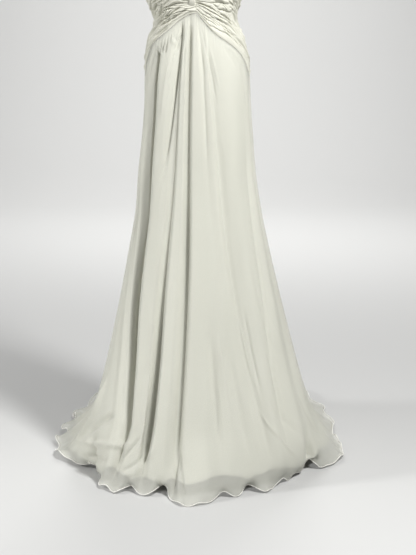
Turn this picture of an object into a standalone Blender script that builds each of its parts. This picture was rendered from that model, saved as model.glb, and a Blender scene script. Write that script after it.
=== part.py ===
"""Strapless wedding dress, hollow, as worn: ruched bodice, twisted centre, long skirt with a train.

Metres, +Z up. The origin is the centre of the waist. The front faces -Y.
A direction round the body is an angle in degrees: 0 at centre front, 90 at the right-hand
side seam (+X), -90 at the left-hand one and 180 at centre back.
"""
import math

import bmesh
import bpy
import numpy as np

# Driving sizes
FLOOR = -1.22             # height of the floor under the waist
SEAM_GAP = 0.0003         # clear space between two pieces at a seam
SLANT_GAP = 0.0008        # the same space across the slanting seam, measured straight down
CHIFFON = 0.0012          # wall of the outer skirt
LINING = 0.0010           # wall of the lining skirt
LINING_INSET = 0.0040     # space between the outer skirt and the lining
BODICE_OUT = 0.0010       # bodice foundation, outside the body surface
BODICE_IN = 0.0010        # bodice foundation, inside the body surface
PLEAT_HEIGHT = 0.0036     # largest rise of a bodice pleat
HEM_CLEAR = 0.0015        # outer face of the hem above the floor
POOL_START = -1.05        # height where the skirt begins to spread towards its hem
TRAIN_ROUNDNESS = 2.4     # exponent of the train's outline, 2 is an ellipse

# Body surface, one row for each section
# height, left half width, right half width, front depth, back depth, height at the back
SECTIONS = [
    (0.260, 0.150, 0.148, 0.104, 0.098, 0.260),
    (0.200, 0.153, 0.150, 0.112, 0.098, 0.200),
    (0.150, 0.150, 0.144, 0.114, 0.096, 0.150),
    (0.100, 0.141, 0.131, 0.108, 0.092, 0.100),
    (0.052, 0.129, 0.116, 0.098, 0.086, 0.052),
    (0.026, 0.115, 0.108, 0.092, 0.082, 0.026),
    (0.000, 0.108, 0.105, 0.088, 0.080, 0.000),
    (-0.026, 0.115, 0.115, 0.091, 0.083, -0.026),
    (-0.053, 0.125, 0.127, 0.096, 0.090, -0.053),
    (-0.100, 0.134, 0.138, 0.105, 0.106, -0.100),
    (-0.160, 0.141, 0.144, 0.112, 0.122, -0.160),
    (-0.220, 0.143, 0.147, 0.116, 0.130, -0.220),
    (-0.300, 0.149, 0.153, 0.120, 0.132, -0.300),
    (-0.400, 0.160, 0.161, 0.126, 0.137, -0.400),
    (-0.500, 0.167, 0.176, 0.137, 0.150, -0.500),
    (-0.600, 0.185, 0.197, 0.153, 0.172, -0.600),
    (-0.750, 0.214, 0.233, 0.184, 0.225, -0.750),
    (-0.900, 0.247, 0.272, 0.220, 0.300, -0.900),
    (-1.000, 0.272, 0.300, 0.248, 0.385, -1.003),
    (-1.100, 0.300, 0.328, 0.278, 0.520, -1.105),
    (-1.160, 0.316, 0.344, 0.292, 0.650, -1.168),
    (-1.195, 0.325, 0.353, 0.300, 0.800, -1.200),
    (-1.210, 0.329, 0.357, 0.303, 0.890, -1.211),
    (-1.220, 0.332, 0.360, 0.305, 0.970, -1.2185),
]

# Skirt folds across the front, left to right. Each row is a crest or the bottom of a trough.
# angle at hip, thigh, knee and ankle, depth below the body surface in mm at the same four
FRONT_FOLDS = [
    (-86, -86, -81, -64, 4, 2, 0, 0),
    (-82, -82, -75, -50, 7, 9, 9, 4),
    (-76, -76, -69, -46, 0, 0, 7, 12),
    (-60, -66, -63, -41, 14, 20, 29, 28),
    (-52, -55, -51, -37, 0, 0, 0, 0),
    (-38, -44, -42, -34, 0, 0, 0, 2),
    (-26, -35, -37, -31.5, 10, 4, 0, 4),
    (-22, -26, -31, -29, 8, 9, 18, 26),
    (-18, -22, -25, -24, 0, 0, 0, 0),
    (-14, -17, -18, -17, 1, 0, 1, 2),
    (-10.5, -11, -10, -11, 14, 18, 20, 20),
    (-4, -5, -4, -6, 0, 0, 0, 0),
    (0, 6, 9, 4, 0, 0, 0, 0),
    (9, 14, 19, 11, 3, 3, 3, 6),
    (15, 21, 26, 18, 0, 0, 0, 0),
    (19, 28, 36, 38, 3, 6, 7, 8),
    (40, 47, 49, 44, 0, 0, 0, 0),
    (58, 66, 62, 50, 1, 4, 6, 7),
    (74, 75, 71, 61, 0, 0, 0, 0),
    (80, 81, 78, 69, 3, 4, 5, 7),
    (86, 86, 85, 80, 0, 0, 0, 0),
]

# Skirt folds across the back, right-hand seam to centre back; the other half is like it
# angle at hip, thigh, knee and ankle, depth in mm at the same four, rise of the train in mm
BACK_FOLDS = [
    (97, 97, 98, 99, 2, 5, 9, 14, 0),
    (104, 104, 106, 108, 0, 0, 0, 0, 12),
    (112, 111, 114, 116, 3, 8, 13, 18, 2),
    (119, 119, 121, 123, 0, 0, 0, 0, 15),
    (126, 127, 129, 131, 1, 5, 12, 20, 0),
    (134, 134, 136, 138, 0, 0, 1, 2, 10),
    (141, 142, 143, 145, 4, 10, 17, 24, 3),
    (149, 149, 150, 151, 0, 0, 0, 0, 17),
    (155, 156, 156, 157, 2, 6, 12, 18, 0),
    (162, 162, 162, 163, 0, 0, 0, 0, 11),
    (168, 168, 168, 169, 4, 9, 16, 22, 2),
    (174, 174, 174, 174.5, 0, 0, 1, 2, 14),
]
LEFT_BACK_SHIFT = 1.6     # degrees that the left-hand back folds wander from the right-hand ones
FOLD_LEVELS = (-0.10, -0.35, -0.65, -1.05)

# Spread of the skirt over the floor, its broad lobes: angle, distance from the waist's axis
HEM_SPREAD = [
    (-112, 0.400), (-99, 0.410), (-88, 0.380), (-78, 0.345), (-66, 0.322), (-52, 0.330),
    (-40, 0.345), (-28, 0.335), (-17, 0.325), (-6, 0.362), (4, 0.368), (14, 0.338),
    (26, 0.325), (40, 0.318), (54, 0.314), (64, 0.328), (74, 0.362), (84, 0.398),
    (94, 0.420), (104, 0.425),
]
# Edge of the hem, one row for each small lobe or notch: angle, distance from the waist's axis
HEM_LOBES = [
    (-112, 0.395), (-99, 0.412), (-93, 0.396), (-89, 0.382), (-85, 0.346), (-73, 0.332),
    (-68, 0.292), (-58, 0.325), (-45, 0.340), (-36, 0.362), (-32, 0.322), (-25, 0.338),
    (-20, 0.333), (-17, 0.280), (-11, 0.345), (-4, 0.386), (5, 0.365), (12, 0.324),
    (19, 0.332), (26, 0.300), (33, 0.340), (40, 0.320), (52, 0.312), (62, 0.314),
    (72, 0.340), (77, 0.310), (82, 0.392), (91, 0.420), (104, 0.425),
]
NOTCH_REACH = 4           # power of the pool that keeps the small notches near the hem
TRAIN_LEFT = 0.400        # half width of the train, left
TRAIN_RIGHT = 0.420       # half width of the train, right
TRAIN_WAVE = 0.012        # reach of the waves along the train's hem

# Rows of the skirt below the seam: height at the front, height read at the back
HANGING_ROWS = [
    (-0.30, -0.30), (-0.45, -0.45), (-0.60, -0.60), (-0.75, -0.75), (-0.88, -0.88),
    (-0.99, -0.99), (-1.09, -1.10), (-1.135, -1.16),
]
SKIRT_ROWS = HANGING_ROWS + [(-1.165, -1.195), (-1.19, -1.211), (-1.21, -1.216), (-1.22, -1.22)]
LINING_ROWS = HANGING_ROWS + [(-1.158, -1.195), (-1.165, -1.211)]
ROWS_ABOVE = 3            # rows between the slanting seam and the first fixed row
COLUMN_STEP = 6.0         # widest step between two columns of the skirt, degrees

# Slanting seam between bodice and skirt, all round: angle, height
SEAM_LINE = [
    (-180, -0.132), (-150, -0.138), (-120, -0.146), (-90, -0.140), (-82, -0.100),
    (-72, -0.064), (-58, -0.043), (-45, -0.025), (-34, -0.009), (-21, 0.005), (-10, 0.013),
    (0, 0.016), (8, 0.004), (14, -0.008), (22, -0.023), (33, -0.041), (46, -0.057),
    (58, -0.074), (67, -0.091), (74, -0.110), (80, -0.132), (90, -0.150), (120, -0.150),
    (150, -0.138), (180, -0.132),
]
# Neckline, the same on both sides: angle, height
NECKLINE = [
    (0, 0.160), (5, 0.172), (13, 0.200), (29, 0.228), (50, 0.215), (90, 0.178), (135, 0.164),
    (180, 0.158),
]
CUP_ANGLE, CUP_HEIGHT, CUP_DEPTH = 29, 0.150, 0.022
CUP_SPREAD_ANGLE, CUP_SPREAD_HEIGHT = 21, 0.052

FRONT_PLEATS = 17         # pleats on each front half
BACK_PLEATS = 12          # pleats on each back half
# Columns of the bodice, degrees from centre front, each moved to the nearest skirt column
FRONT_COLUMNS = (0, 4, 10, 18, 26, 35, 45, 56, 66, 74, 82, 90)
BACK_COLUMNS = (90, 104, 119, 134, 149, 165, 180)
KNOT_SHARE, KNOT_REACH = 0.6, 0.34   # this share of the pleats meets in this share of the centre


def smooth_curve(knots, values, at):
    """Smooth curve through a table's points that never overshoots them."""
    knots, values = np.asarray(knots, float), np.asarray(values, float)
    step = np.diff(knots)
    slope = np.diff(values) / step
    tangent = np.zeros_like(values)
    tangent[0], tangent[-1] = slope[0], slope[-1]
    same_way = slope[:-1] * slope[1:] > 0
    weight_a = 2 * step[1:] + step[:-1]
    weight_b = step[1:] + 2 * step[:-1]
    safe_a = np.where(same_way, slope[:-1], 1)
    safe_b = np.where(same_way, slope[1:], 1)
    mean = (weight_a + weight_b) / (weight_a / safe_a + weight_b / safe_b)
    tangent[1:-1] = np.where(same_way, mean, 0)
    at = np.clip(at, knots[0], knots[-1])
    cell = np.clip(np.searchsorted(knots, at, side="right") - 1, 0, len(step) - 1)
    part = (at - knots[cell]) / step[cell]
    from_start = (1 + 2 * part) * (1 - part) ** 2 * values[cell]
    from_end = part ** 2 * (3 - 2 * part) * values[cell + 1]
    lean_start = part * (1 - part) ** 2 * step[cell] * tangent[cell]
    lean_end = part ** 2 * (part - 1) * step[cell] * tangent[cell + 1]
    return from_start + from_end + lean_start + lean_end


def ease(value):
    """Smooth step from 0 to 1."""
    value = np.clip(value, 0, 1)
    return value * value * (3 - 2 * value)


def section_column(index, height):
    rows = SECTIONS[::-1]
    return smooth_curve([row[0] for row in rows], [row[index] for row in rows], height)


def oval(angle, left, right, front, back, roundness):
    """Distance from the axis to an oval with its own half width or depth each way."""
    turn = np.radians(angle)
    across = np.where(np.sin(turn) < 0, left, right)
    along = np.where(np.cos(turn) > 0, front, back)
    total = (np.abs(np.sin(turn)) / across) ** roundness + (np.abs(np.cos(turn)) / along) ** roundness
    return total ** (-1 / roundness)


def backness(angle):
    """0 across the front, 1 at the back."""
    return ease((np.abs(angle) - 62) / 100)


def pooling(height):
    """0 where the skirt hangs, 1 at its hem on the floor."""
    return np.clip((POOL_START - height) / (POOL_START - FLOOR), 0, 1) ** 2


def hem_reach(angle, pool):
    """Distance of the hem from the axis: the lobes at the front, a waving train behind."""
    broad = smooth_curve([row[0] for row in HEM_SPREAD], [row[1] for row in HEM_SPREAD], angle)
    edge = smooth_curve([row[0] for row in HEM_LOBES], [row[1] for row in HEM_LOBES], angle)
    lobes = broad + (edge - broad) * pool ** NOTCH_REACH
    back = SECTIONS[-1][4]
    train = oval(angle, TRAIN_LEFT, TRAIN_RIGHT, back, back, TRAIN_ROUNDNESS)
    train = train + TRAIN_WAVE * np.sin(np.radians(angle) * 26 + 0.8 * np.sin(np.radians(angle) * 5))
    behind = ease((np.abs(angle) - 99) / 12)
    return lobes * (1 - behind) + train * behind


def body_point(angle, height):
    """Point on the plain body surface, before any fold."""
    angle, height = np.broadcast_arrays(np.asarray(angle, float), np.asarray(height, float))
    left, right, front, back = (section_column(index, height) for index in (1, 2, 3, 4))
    roundness = 2 + (TRAIN_ROUNDNESS - 2) * ease((-0.85 - height) / 0.3)
    reach = oval(angle, left, right, front, back, roundness)
    pool = pooling(height)
    reach = reach * (1 - pool) + hem_reach(angle, pool) * pool
    around = (np.abs(angle) - CUP_ANGLE) / CUP_SPREAD_ANGLE
    above = (height - CUP_HEIGHT) / CUP_SPREAD_HEIGHT
    reach = reach + CUP_DEPTH * np.exp(-around ** 2 - above ** 2)
    behind = backness(angle)
    level = height * (1 - behind) + section_column(5, height) * behind
    turn = np.radians(angle)
    return np.stack([reach * np.sin(turn), -reach * np.cos(turn), level], axis=-1)


def normal_of(surface, across, down, step_across, step_down):
    """Outward unit normal of surface(across, down), by small differences."""
    along = surface(across + step_across, down) - surface(across - step_across, down)
    level = np.maximum(down, FLOOR)
    below = surface(across, level - step_down) - surface(across, level + step_down)
    normal = np.cross(below, along)
    return normal / np.linalg.norm(normal, axis=-1, keepdims=True)


def fold_lines():
    """All crests and troughs round the skirt in order, with the three seams among them."""
    lines = [row + (0,) for row in FRONT_FOLDS]
    for row in BACK_FOLDS:
        lines.append(row)
        wander = LEFT_BACK_SHIFT * math.sin(row[0] * 0.13)
        lines.append(tuple(-angle - wander for angle in row[:4]) + row[4:])
    for seam in (-180, -90, 90, 180):
        lines.append((seam,) * 4 + (1, 1, 1, 1, 1))
    lines.sort(key=lambda row: row[0])
    return lines


FOLD_LINES = fold_lines()


def fold_state(place, height):
    """Angle, depth and train rise at a place counted in fold lines, such as 3.5."""
    place, height = np.broadcast_arrays(np.asarray(place, float), np.asarray(height, float))
    table = np.array(FOLD_LINES)
    levels = FOLD_LEVELS[::-1]
    low = np.clip(np.floor(place).astype(int), 0, len(table) - 2)
    part = place - low
    ends = []
    for line in (low, low + 1):
        angle = np.zeros(height.shape)
        depth = np.zeros(height.shape)
        for number in np.unique(line):
            here = line == number
            row = table[number]
            angle[here] = smooth_curve(levels, row[3::-1], height[here])
            depth[here] = smooth_curve(levels, row[7:3:-1], height[here])
        ends.append((angle, depth, table[line, 8]))
    rounded = ease(part)
    angle = ends[0][0] * (1 - part) + ends[1][0] * part
    depth = ends[0][1] * (1 - rounded) + ends[1][1] * rounded
    rise = ends[0][2] * (1 - rounded) + ends[1][2] * rounded
    return angle, depth * 0.001, rise * 0.001


def seam_height(angle):
    return smooth_curve([row[0] for row in SEAM_LINE], [row[1] for row in SEAM_LINE], angle)


def neck_height(angle):
    return smooth_curve([row[0] for row in NECKLINE], [row[1] for row in NECKLINE], np.abs(angle))


def skirt_surface(place, height):
    """Point of the outer skirt: the body surface sunk into its folds."""
    angle, depth, rise = fold_state(place, height)
    start = 0.35 + 0.65 * ease((seam_height(angle) - height) / 0.06)
    pool = pooling(height)
    move = rise * pool - depth * start * (1 - pool)
    point = body_point(angle, height)
    point = point + normal_of(body_point, angle, height, 0.5, 0.002) * move[..., None]
    lowest = FLOOR + HEM_CLEAR
    point[..., 2] = np.maximum(point[..., 2], lowest)
    return point


def skirt_places():
    """Columns of the skirt: every fold line, and more where two lines stand far apart."""
    places = []
    for number in range(len(FOLD_LINES) - 1):
        first, second = FOLD_LINES[number], FOLD_LINES[number + 1]
        widest = max(b - a for a, b in zip(first[:4], second[:4]))
        count = math.ceil(widest / COLUMN_STEP)
        places += [number + part / count for part in range(count)]
    return places + [len(FOLD_LINES) - 1]


def seam_angles(places):
    """Angle of each skirt column where it meets the bodice."""
    return fold_state(places, np.full(len(places), FOLD_LEVELS[0]))[0]


def bodice_columns():
    """Angles of the bodice's columns all round, each on a column of the skirt."""
    tops = seam_angles(skirt_places())
    wanted = FRONT_COLUMNS + BACK_COLUMNS[1:]
    wanted = [-angle for angle in wanted] + list(wanted)
    return np.array(sorted({float(tops[np.argmin(np.abs(tops - angle))]) for angle in wanted}))


def seam_chord(angle):
    """Seam point and normal at an angle, on the straight runs between the bodice's columns."""
    turns = BODICE_COLUMNS
    points = body_point(turns, seam_height(turns))
    normals = normal_of(body_point, turns, seam_height(turns), 0.5, 0.002)
    point = np.stack([np.interp(angle, turns, points[:, axis]) for axis in range(3)], axis=-1)
    normal = np.stack([np.interp(angle, turns, normals[:, axis]) for axis in range(3)], axis=-1)
    return point, normal


BODICE_COLUMNS = bodice_columns()


def skirt_grid(rows, places):
    """Outer points and normals of the skirt, a row for each level and a column for each place."""
    places = np.array(places)
    angle_top = seam_angles(places)
    first = rows[0][0]
    top = seam_height(angle_top)
    heights = []
    for number in range(1, ROWS_ABOVE):
        heights.append(top + (first - top) * number / ROWS_ABOVE)
    for front, back in rows:
        behind = backness(angle_top)
        heights.append(front * (1 - behind) + back * behind)
    points, normals = seam_chord(angle_top)
    points = points - np.array([0, 0, SLANT_GAP / 2])
    grid, facing = [points], [normals]
    for height in heights:
        grid.append(skirt_surface(places, height))
        facing.append(normal_of(skirt_surface, places, height, 0.06, 0.002))
    return np.array(grid), np.array(facing)


def on_seam(column, seam, side):
    """Put a column of points flat against a seam's plane, half the gap away."""
    moved = column.copy()
    axis = 1 if abs(seam) == 90 else 0
    moved[:, axis] = side * SEAM_GAP / 2
    return moved


def seam_sides(start, end):
    """Which side of its plane a piece that runs from one seam to the next lies on."""
    middle = math.radians((start + end) / 2)
    sides = []
    for seam in (start, end):
        across = -math.cos(middle) if abs(seam) == 90 else math.sin(middle)
        sides.append(1 if across > 0 else -1)
    return sides


def make_material(name, colour, roughness, metallic=0.0):
    material = bpy.data.materials.new(name)
    material.use_nodes = True
    shader = material.node_tree.nodes["Principled BSDF"]
    shader.inputs["Base Color"].default_value = (*colour, 1)
    shader.inputs["Roughness"].default_value = roughness
    shader.inputs["Metallic"].default_value = metallic
    return material


def add_object(name, mesh_data, material):
    mesh = bpy.data.meshes.new(name)
    bmesh.ops.recalc_face_normals(mesh_data, faces=mesh_data.faces)
    mesh_data.to_mesh(mesh)
    mesh_data.free()
    mesh.materials.append(material)
    mesh.shade_smooth()
    mesh.set_sharp_from_angle(angle=math.radians(50))
    piece = bpy.data.objects.new(name, mesh)
    bpy.context.scene.collection.objects.link(piece)
    return piece


def cloth_wall(name, outer, inner, material):
    """Closed wall between two grids of points, rows running down and columns to the right.

    The inner grid may be plainer: it has one row for every few rows of the outer one.
    """
    columns = outer.shape[1]
    ratio = (len(outer) - 1) // (len(inner) - 1)
    mesh_data = bmesh.new()
    front = [[mesh_data.verts.new(point) for point in row] for row in outer]
    rear = [[mesh_data.verts.new(point) for point in row] for row in inner]
    for above, below in zip(front[:-1], front[1:]):
        for c in range(columns - 1):
            mesh_data.faces.new((above[c], below[c], below[c + 1]))
            mesh_data.faces.new((above[c], below[c + 1], above[c + 1]))
    for above, below in zip(rear[:-1], rear[1:]):
        for c in range(columns - 1):
            mesh_data.faces.new((above[c], below[c + 1], below[c]))
            mesh_data.faces.new((above[c], above[c + 1], below[c + 1]))
    for c in range(columns - 1):
        mesh_data.faces.new((front[0][c], front[0][c + 1], rear[0][c + 1], rear[0][c]))
        mesh_data.faces.new((front[-1][c], rear[-1][c], rear[-1][c + 1], front[-1][c + 1]))
    for r in range(len(rear) - 1):
        edge = front[r * ratio:(r + 1) * ratio + 1]
        mesh_data.faces.new([row[0] for row in edge[::-1]] + [rear[r][0], rear[r + 1][0]])
        mesh_data.faces.new([row[-1] for row in edge] + [rear[r + 1][-1], rear[r][-1]])
    return add_object(name, mesh_data, material)


def make_skirt_layer(names, rows, outer_inset, wall, material):
    """Three panels of a skirt layer: the front, and the two halves of the back."""
    places = skirt_places()
    grid, facing = skirt_grid(rows, places)
    outer = grid - facing * outer_inset
    inner = outer - facing * wall
    line_seams = [row[0] for row in FOLD_LINES]
    for name, (start, end) in names.items():
        first = places.index(line_seams.index(start))
        last = places.index(line_seams.index(end))
        panel_outer = outer[:, first:last + 1].copy()
        panel_inner = inner[:, first:last + 1].copy()
        for column, seam, side in zip((0, -1), (start, end), seam_sides(start, end)):
            panel_outer[:, column] = on_seam(panel_outer[:, column], seam, side)
            panel_inner[:, column] = on_seam(panel_inner[:, column], seam, side)
        cloth_wall(name, panel_outer, panel_inner, material)


def pleat_rows(count, drift):
    """Rows across a pleated panel: place from seam to neckline, and share of the pleat's rise."""
    edges = [(number + 0.24 * math.sin(2.1 * number + drift)) / count for number in range(1, count)]
    edges = [0] + edges + [1]
    rows = []
    for number in range(count):
        start, end = edges[number], edges[number + 1]
        rows.append((start, 0.0, number))
        rows.append((start + 0.34 * (end - start), 0.8, number))
        rows.append((start + 0.66 * (end - start), 1.0, number))
    rows.append((1, 0.0, count - 1))
    return rows


def pleat_rise(number, step, spacing, drift):
    """Height of a pleat's crest, uneven along its length and from one pleat to the next."""
    uneven = 0.72 + 0.28 * math.sin(1.7 * number + 4.2 * step + drift)
    return min(PLEAT_HEIGHT, 0.24 * spacing) * uneven


def make_bodice_panel(name, start, end, count, drift, material):
    """Ruched panel from one seam to the next, pleats over a plain foundation."""
    is_front = min(abs(start), abs(end)) == 0
    angles = [float(angle) for angle in BODICE_COLUMNS if start <= angle <= end]
    rows = pleat_rows(count, drift)
    outer, inner = [], []
    for across, share, number in rows[::-1]:
        outer_row, inner_row = [], []
        for angle in angles:
            step = (angle - start) / (end - start)
            centre = 1 - abs(angle) / 90 if is_front else 0
            near_knot = KNOT_REACH * across / KNOT_SHARE
            past_knot = KNOT_REACH + (1 - KNOT_REACH) * (across - KNOT_SHARE) / (1 - KNOT_SHARE)
            bunched = near_knot if across < KNOT_SHARE else past_knot
            rise_share = across + (bunched - across) * centre ** 2
            low = float(seam_height(angle)) + SLANT_GAP / 2
            high = float(neck_height(angle))
            height = low + (high - low) * rise_share
            bunching = 1 + (KNOT_REACH / KNOT_SHARE - 1) * centre ** 2
            spacing = (high - low) / count * bunching
            rise = pleat_rise(number, step, spacing, drift) * share
            if not is_front:
                rise *= 0.25 + 0.75 * ease((180 - abs(angle)) / 12)
            if across == 0:
                point, normal = seam_chord(angle)
                point = point + np.array([0, 0, SLANT_GAP / 2])
            else:
                point = body_point(angle, height)
                normal = normal_of(body_point, angle, height, 0.5, 0.002)
            outer_row.append(point + normal * (BODICE_OUT + rise))
            inner_row.append(point - normal * BODICE_IN)
        outer.append(outer_row)
        if share == 0:
            inner.append(inner_row)
    outer, inner = np.array(outer), np.array(inner)
    for column, seam, side in zip((0, -1), (start, end), seam_sides(start, end)):
        outer[:, column] = on_seam(outer[:, column], seam, side)
        inner[:, column] = on_seam(inner[:, column], seam, side)
    cloth_wall(name, outer, inner, material)


# Centre twist: height of its ends, half width and half depth at its middle
TWIST_LOW, TWIST_HIGH = 0.019, 0.070
TWIST_HALF_WIDTH, TWIST_HALF_DEPTH = 0.0064, 0.0044
TWIST_OFF_BODICE = 0.0024
TWIST_SIDES, TWIST_RINGS = 14, 10
TWIST_LOBES, TWIST_TURN = 3, 2.6


def make_twist(material):
    """Short band of cloth wound round the meeting point of the pleats."""
    mesh_data = bmesh.new()
    rings = []
    for ring in range(TWIST_RINGS + 1):
        part = ring / TWIST_RINGS
        height = TWIST_LOW + (TWIST_HIGH - TWIST_LOW) * part
        swell = math.sqrt(max(0.06, 1 - (2 * part - 1) ** 2))
        front = float(body_point(0, height)[1]) - BODICE_OUT - TWIST_OFF_BODICE - TWIST_HALF_DEPTH * 1.12
        verts = []
        for side in range(TWIST_SIDES):
            turn = 2 * math.pi * side / TWIST_SIDES
            lobe = 1 + 0.12 * math.cos(TWIST_LOBES * (turn - TWIST_TURN * part))
            x = TWIST_HALF_WIDTH * (0.55 + 0.45 * swell) * lobe * math.cos(turn)
            y = TWIST_HALF_DEPTH * swell * lobe * math.sin(turn)
            verts.append(mesh_data.verts.new((x, front + y, height)))
        rings.append(verts)
    for lower, upper in zip(rings[:-1], rings[1:]):
        for side in range(TWIST_SIDES):
            after = (side + 1) % TWIST_SIDES
            mesh_data.faces.new((lower[side], lower[after], upper[after], upper[side]))
    mesh_data.faces.new(rings[0][::-1])
    mesh_data.faces.new(rings[-1])
    return add_object("centre_twist", mesh_data, material)


# Concealed zip at centre back: only its slider and pull tab stand outside the cloth
ZIP_TOP = 0.146           # height of the pull tab's hinge
SLIDER_WIDTH, SLIDER_LENGTH, SLIDER_THICK = 0.0076, 0.0115, 0.0020
SLIDER_OFF_CLOTH = 0.0006
BAR_RADIUS, EYE_RADIUS, BARREL_RADIUS = 0.0007, 0.0011, 0.0018
BAR_OFF_SLIDER = 0.0026
POST_THICK, POST_GAP = 0.0010, 0.0045
TAB_LENGTH, TAB_HALF_WIDTH, TAB_THICK = 0.0230, 0.0029, 0.0011
NECK_HALF_WIDTH = 0.0017


def zip_plane():
    """Distance behind the axis of the slider's rear face, clear of the cloth beside it."""
    heights = ZIP_TOP + np.linspace(-SLIDER_LENGTH, SLIDER_LENGTH / 2, 5)
    cloth = max(float(body_point(180, height)[1]) for height in heights)
    return cloth + BODICE_OUT + PLEAT_HEIGHT * 0.25 + SLIDER_OFF_CLOTH


def block(mesh_data, low, high):
    """Box between two corners."""
    corner = [(low[i] + high[i]) / 2 for i in range(3)]
    size = [high[i] - low[i] for i in range(3)]
    made = bmesh.ops.create_cube(mesh_data, size=1)
    bmesh.ops.scale(mesh_data, vec=size, verts=made["verts"])
    bmesh.ops.translate(mesh_data, vec=corner, verts=made["verts"])


def union(base, tool):
    """Join two closed objects into one body."""
    modifier = base.modifiers.new("join", "BOOLEAN")
    modifier.operation = "UNION"
    modifier.solver = "EXACT"
    modifier.object = tool
    tool.hide_render = True
    tool.display_type = "WIRE"


def extrude_outline(mesh_data, outline, low, high, place):
    """Prism from a closed outline, place(a, b, level) giving each of its points."""
    bottom = [mesh_data.verts.new(place(a, b, low)) for a, b in outline]
    top = [mesh_data.verts.new(place(a, b, high)) for a, b in outline]
    mesh_data.faces.new(bottom[::-1])
    mesh_data.faces.new(top)
    for here in range(len(outline)):
        after = (here + 1) % len(outline)
        mesh_data.faces.new((bottom[here], bottom[after], top[after], top[here]))


def arc(radius, start, end, count, centre=(0, 0)):
    points = []
    for number in range(count + 1):
        turn = math.radians(start + (end - start) * number / count)
        points.append((centre[0] + radius * math.cos(turn), centre[1] + radius * math.sin(turn)))
    return points


def make_zip(slider_material, tab_material):
    """Slider with a cross bar, and a pull tab whose barrel turns on it."""
    rear = zip_plane()
    face = rear + SLIDER_THICK
    bar_y = face + BAR_OFF_SLIDER
    inner, outer = POST_GAP / 2, POST_GAP / 2 + POST_THICK

    plate = bmesh.new()
    half = SLIDER_WIDTH / 2
    outline = [(-half, 0.35 * SLIDER_LENGTH), (-0.6 * half, -0.65 * SLIDER_LENGTH),
               (0.6 * half, -0.65 * SLIDER_LENGTH), (half, 0.35 * SLIDER_LENGTH)]
    extrude_outline(plate, outline, rear, face, lambda a, b, level: (a, level, ZIP_TOP + b))
    slider = add_object("zip_slider", plate, slider_material)
    for number, side in enumerate((-1, 1)):
        post = bmesh.new()
        ends = sorted((side * inner, side * outer))
        block(post, (ends[0], face - 0.0004, ZIP_TOP - 0.0014), (ends[1], bar_y + 0.0012, ZIP_TOP + 0.0014))
        union(slider, add_object(f"zip_post_{number}", post, slider_material))
    bar = bmesh.new()
    bar_outline = arc(BAR_RADIUS, 0, 360 - 36, 9)
    reach = inner + POST_THICK / 2
    extrude_outline(bar, bar_outline, -reach, reach, lambda a, b, level: (level, bar_y + a, ZIP_TOP + b))
    union(slider, add_object("zip_bar", bar, slider_material))

    barrel = bmesh.new()
    outside = arc(BARREL_RADIUS, -60, 240, 12)
    eye = arc(EYE_RADIUS, -60, 240, 12)
    place = [mesh_point(bar_y, ZIP_TOP, level) for level in (-NECK_HALF_WIDTH, NECK_HALF_WIDTH)]
    rings = []
    for put in place:
        rings.append([barrel.verts.new(put(a, b)) for a, b in outside])
        rings.append([barrel.verts.new(put(a, b)) for a, b in eye])
    count = len(outside)
    for here in range(count):
        after = (here + 1) % count
        barrel.faces.new((rings[0][here], rings[0][after], rings[1][after], rings[1][here]))
        barrel.faces.new((rings[2][here], rings[3][here], rings[3][after], rings[2][after]))
        barrel.faces.new((rings[0][here], rings[2][here], rings[2][after], rings[0][after]))
        barrel.faces.new((rings[1][here], rings[1][after], rings[3][after], rings[3][here]))
    tab = add_object("zip_pull", barrel, tab_material)
    plate = bmesh.new()
    neck = -BARREL_RADIUS * 0.86
    centre = -TAB_LENGTH + TAB_HALF_WIDTH
    outline = [(-NECK_HALF_WIDTH * 0.8, neck), (-NECK_HALF_WIDTH * 0.8, -0.35 * TAB_LENGTH)]
    outline += arc(TAB_HALF_WIDTH, 180, 360, 10, (0, centre))
    outline += [(NECK_HALF_WIDTH * 0.8, -0.35 * TAB_LENGTH), (NECK_HALF_WIDTH * 0.8, neck)]
    levels = (bar_y - TAB_THICK / 2, bar_y + TAB_THICK / 2)
    extrude_outline(plate, outline, *levels, lambda a, b, level: (a, level, ZIP_TOP + b))
    union(tab, add_object("zip_tab_plate", plate, tab_material))


def mesh_point(bar_y, bar_z, level):
    """Placer of points round the zip's bar at one distance along it."""
    return lambda a, b: (level, bar_y + a, bar_z + b)


def clear_scene():
    for old in list(bpy.data.objects):
        bpy.data.objects.remove(old, do_unlink=True)


def main():
    clear_scene()
    chiffon = make_material("ivory_chiffon", (0.80, 0.79, 0.72), 0.75)
    satin = make_material("ivory_lining", (0.78, 0.77, 0.70), 0.55)
    ruched = make_material("ivory_ruched_chiffon", (0.81, 0.80, 0.73), 0.70)
    metal = make_material("zip_enamel", (0.76, 0.75, 0.70), 0.40)
    panels = {"front": (-90, 90), "back_right": (90, 180), "back_left": (-180, -90)}
    skirt_names = {f"skirt_{key}": ends for key, ends in panels.items()}
    lining_names = {f"lining_{key}": ends for key, ends in panels.items()}
    make_skirt_layer(skirt_names, SKIRT_ROWS, 0.0, CHIFFON, chiffon)
    make_skirt_layer(lining_names, LINING_ROWS, CHIFFON + LINING_INSET, LINING, satin)
    make_bodice_panel("bodice_front_right", 0, 90, FRONT_PLEATS, 0.4, ruched)
    make_bodice_panel("bodice_front_left", -90, 0, FRONT_PLEATS, 2.3, ruched)
    make_bodice_panel("bodice_back_right", 90, 180, BACK_PLEATS, 1.1, ruched)
    make_bodice_panel("bodice_back_left", -180, -90, BACK_PLEATS, 3.0, ruched)
    make_twist(ruched)
    make_zip(metal, metal)


main()
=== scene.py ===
"""Strapless wedding dress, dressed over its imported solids.

Metres, +Z up, origin at the centre of the waist, the front facing -Y. A direction round the body
is an angle in degrees: 0 at centre front, 90 at the right-hand side seam (+X), 180 behind. The
tables give lengths in millimetres.
Each cloth piece is a thin closed shell on the form of the solid that it stands for, with finer
pleats, creases, gathers and hem waves from tables of their own.
"""
import math
from contextlib import contextmanager

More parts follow.
